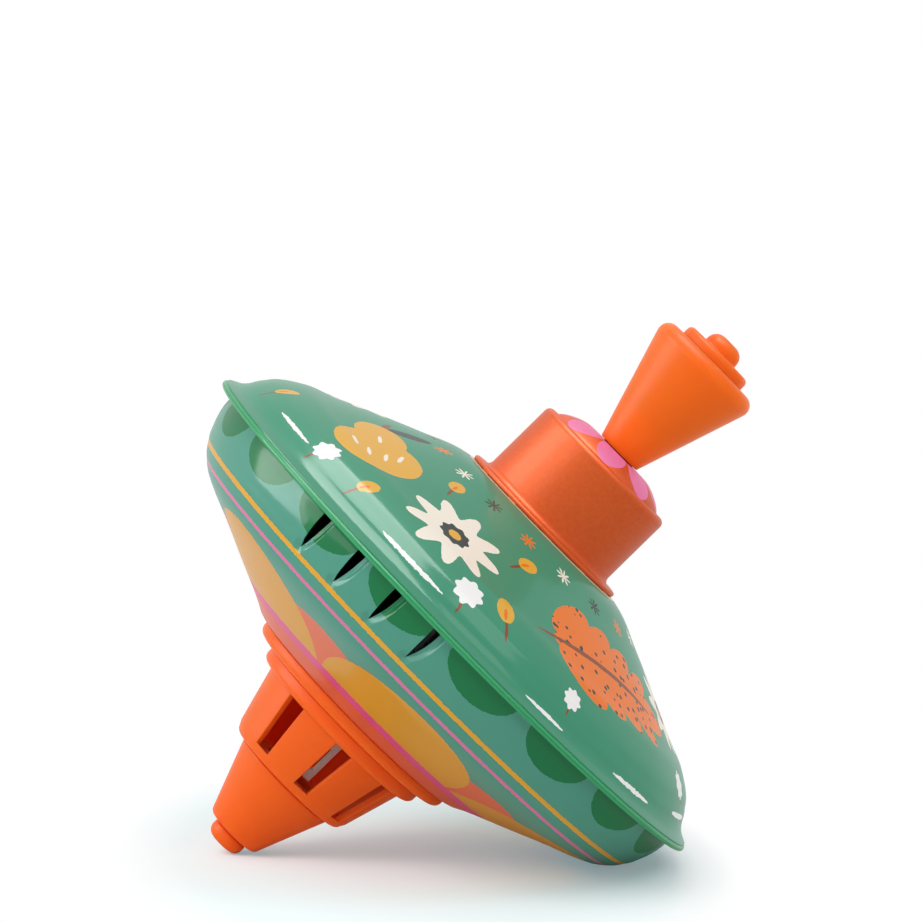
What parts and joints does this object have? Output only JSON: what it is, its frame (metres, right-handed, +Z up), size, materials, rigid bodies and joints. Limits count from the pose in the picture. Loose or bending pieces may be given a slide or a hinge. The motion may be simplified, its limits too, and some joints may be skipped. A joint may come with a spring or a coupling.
{
  "type": "humming spinning top",
  "caption": "Push-down humming top: flared tin body with a rim hem and whistle slots, windowed moulded foot, clutch cap and a tapered handle on a twisted rod, lying on its side.",
  "frame": {"origin": "on the table, under the middle of the top's box, with the top lying on its foot and belly", "axes": "+Z up, +Y across the rim, and the spin axis leaning up towards +X with the handle at its upper end"},
  "size_m": [0.1566, 0.1896, 0.1571],
  "materials": {
    "orange_plastic": "moulded, satin gloss",
    "printed_tin_lower": "lithographed and clear lacquered, glossy",
    "printed_tin_upper": "lithographed and clear lacquered, glossy",
    "orange_lacquer": "translucent orange lacquer on tin, metallic",
    "nylon": "natural nylon, matt",
    "plated_steel": "zinc plated"
  },
  "bodies": {
    "top_body": {"foot_tip": "orange_plastic", "foot_cone": "orange_plastic", "foot_housing": "orange_plastic", "foot_flange": "orange_plastic", "foot_lock_ring": "nylon", "lower_shell": "printed_tin_lower", "upper_shell": "printed_tin_upper", "crown_cap": "orange_lacquer", "core_tube": "plated_steel", "clutch_crown": "nylon"},
    "rod_guide": {"guide_bush": "nylon", "bush_clip": "plated_steel"},
    "plunger": {"twist_rod": "plated_steel", "rod_end_slider": "nylon", "slider_rivet": "plated_steel", "handle_pin": "plated_steel", "handle_grip": "orange_plastic", "handle_end_cap": "orange_plastic"},
    "clutch_washer": {"thrust_washer": "plated_steel"},
    "drive_nut": {"drive_nut": "nylon"}
  },
  "joints": [
    {"name": "handle_spin", "type": "hinge", "parent": "top_body", "child": "rod_guide", "pos_m": [-0.07189, 0, 0.00277], "axis": [0.6957, 0, 0.7183], "continuous": true},
    {"name": "pump", "type": "slide", "parent": "rod_guide", "child": "plunger", "axis": [0.6957, 0, 0.7183], "range_m": [0, 0.09]},
    {"name": "clutch_lift", "type": "slide", "parent": "rod_guide", "child": "clutch_washer", "axis": [0.6957, 0, 0.7183], "range_m": [-0.0012, 0]},
    {"name": "nut_turn", "type": "hinge", "parent": "clutch_washer", "child": "drive_nut", "pos_m": [-0.07189, 0, 0.00277], "axis": [0.6957, 0, 0.7183], "range_deg": [-1081, 1]}
  ],
  "couplings": [
    {"joint": "nut_turn", "follows": "pump", "rad_per_m": -209.44}
  ]
}
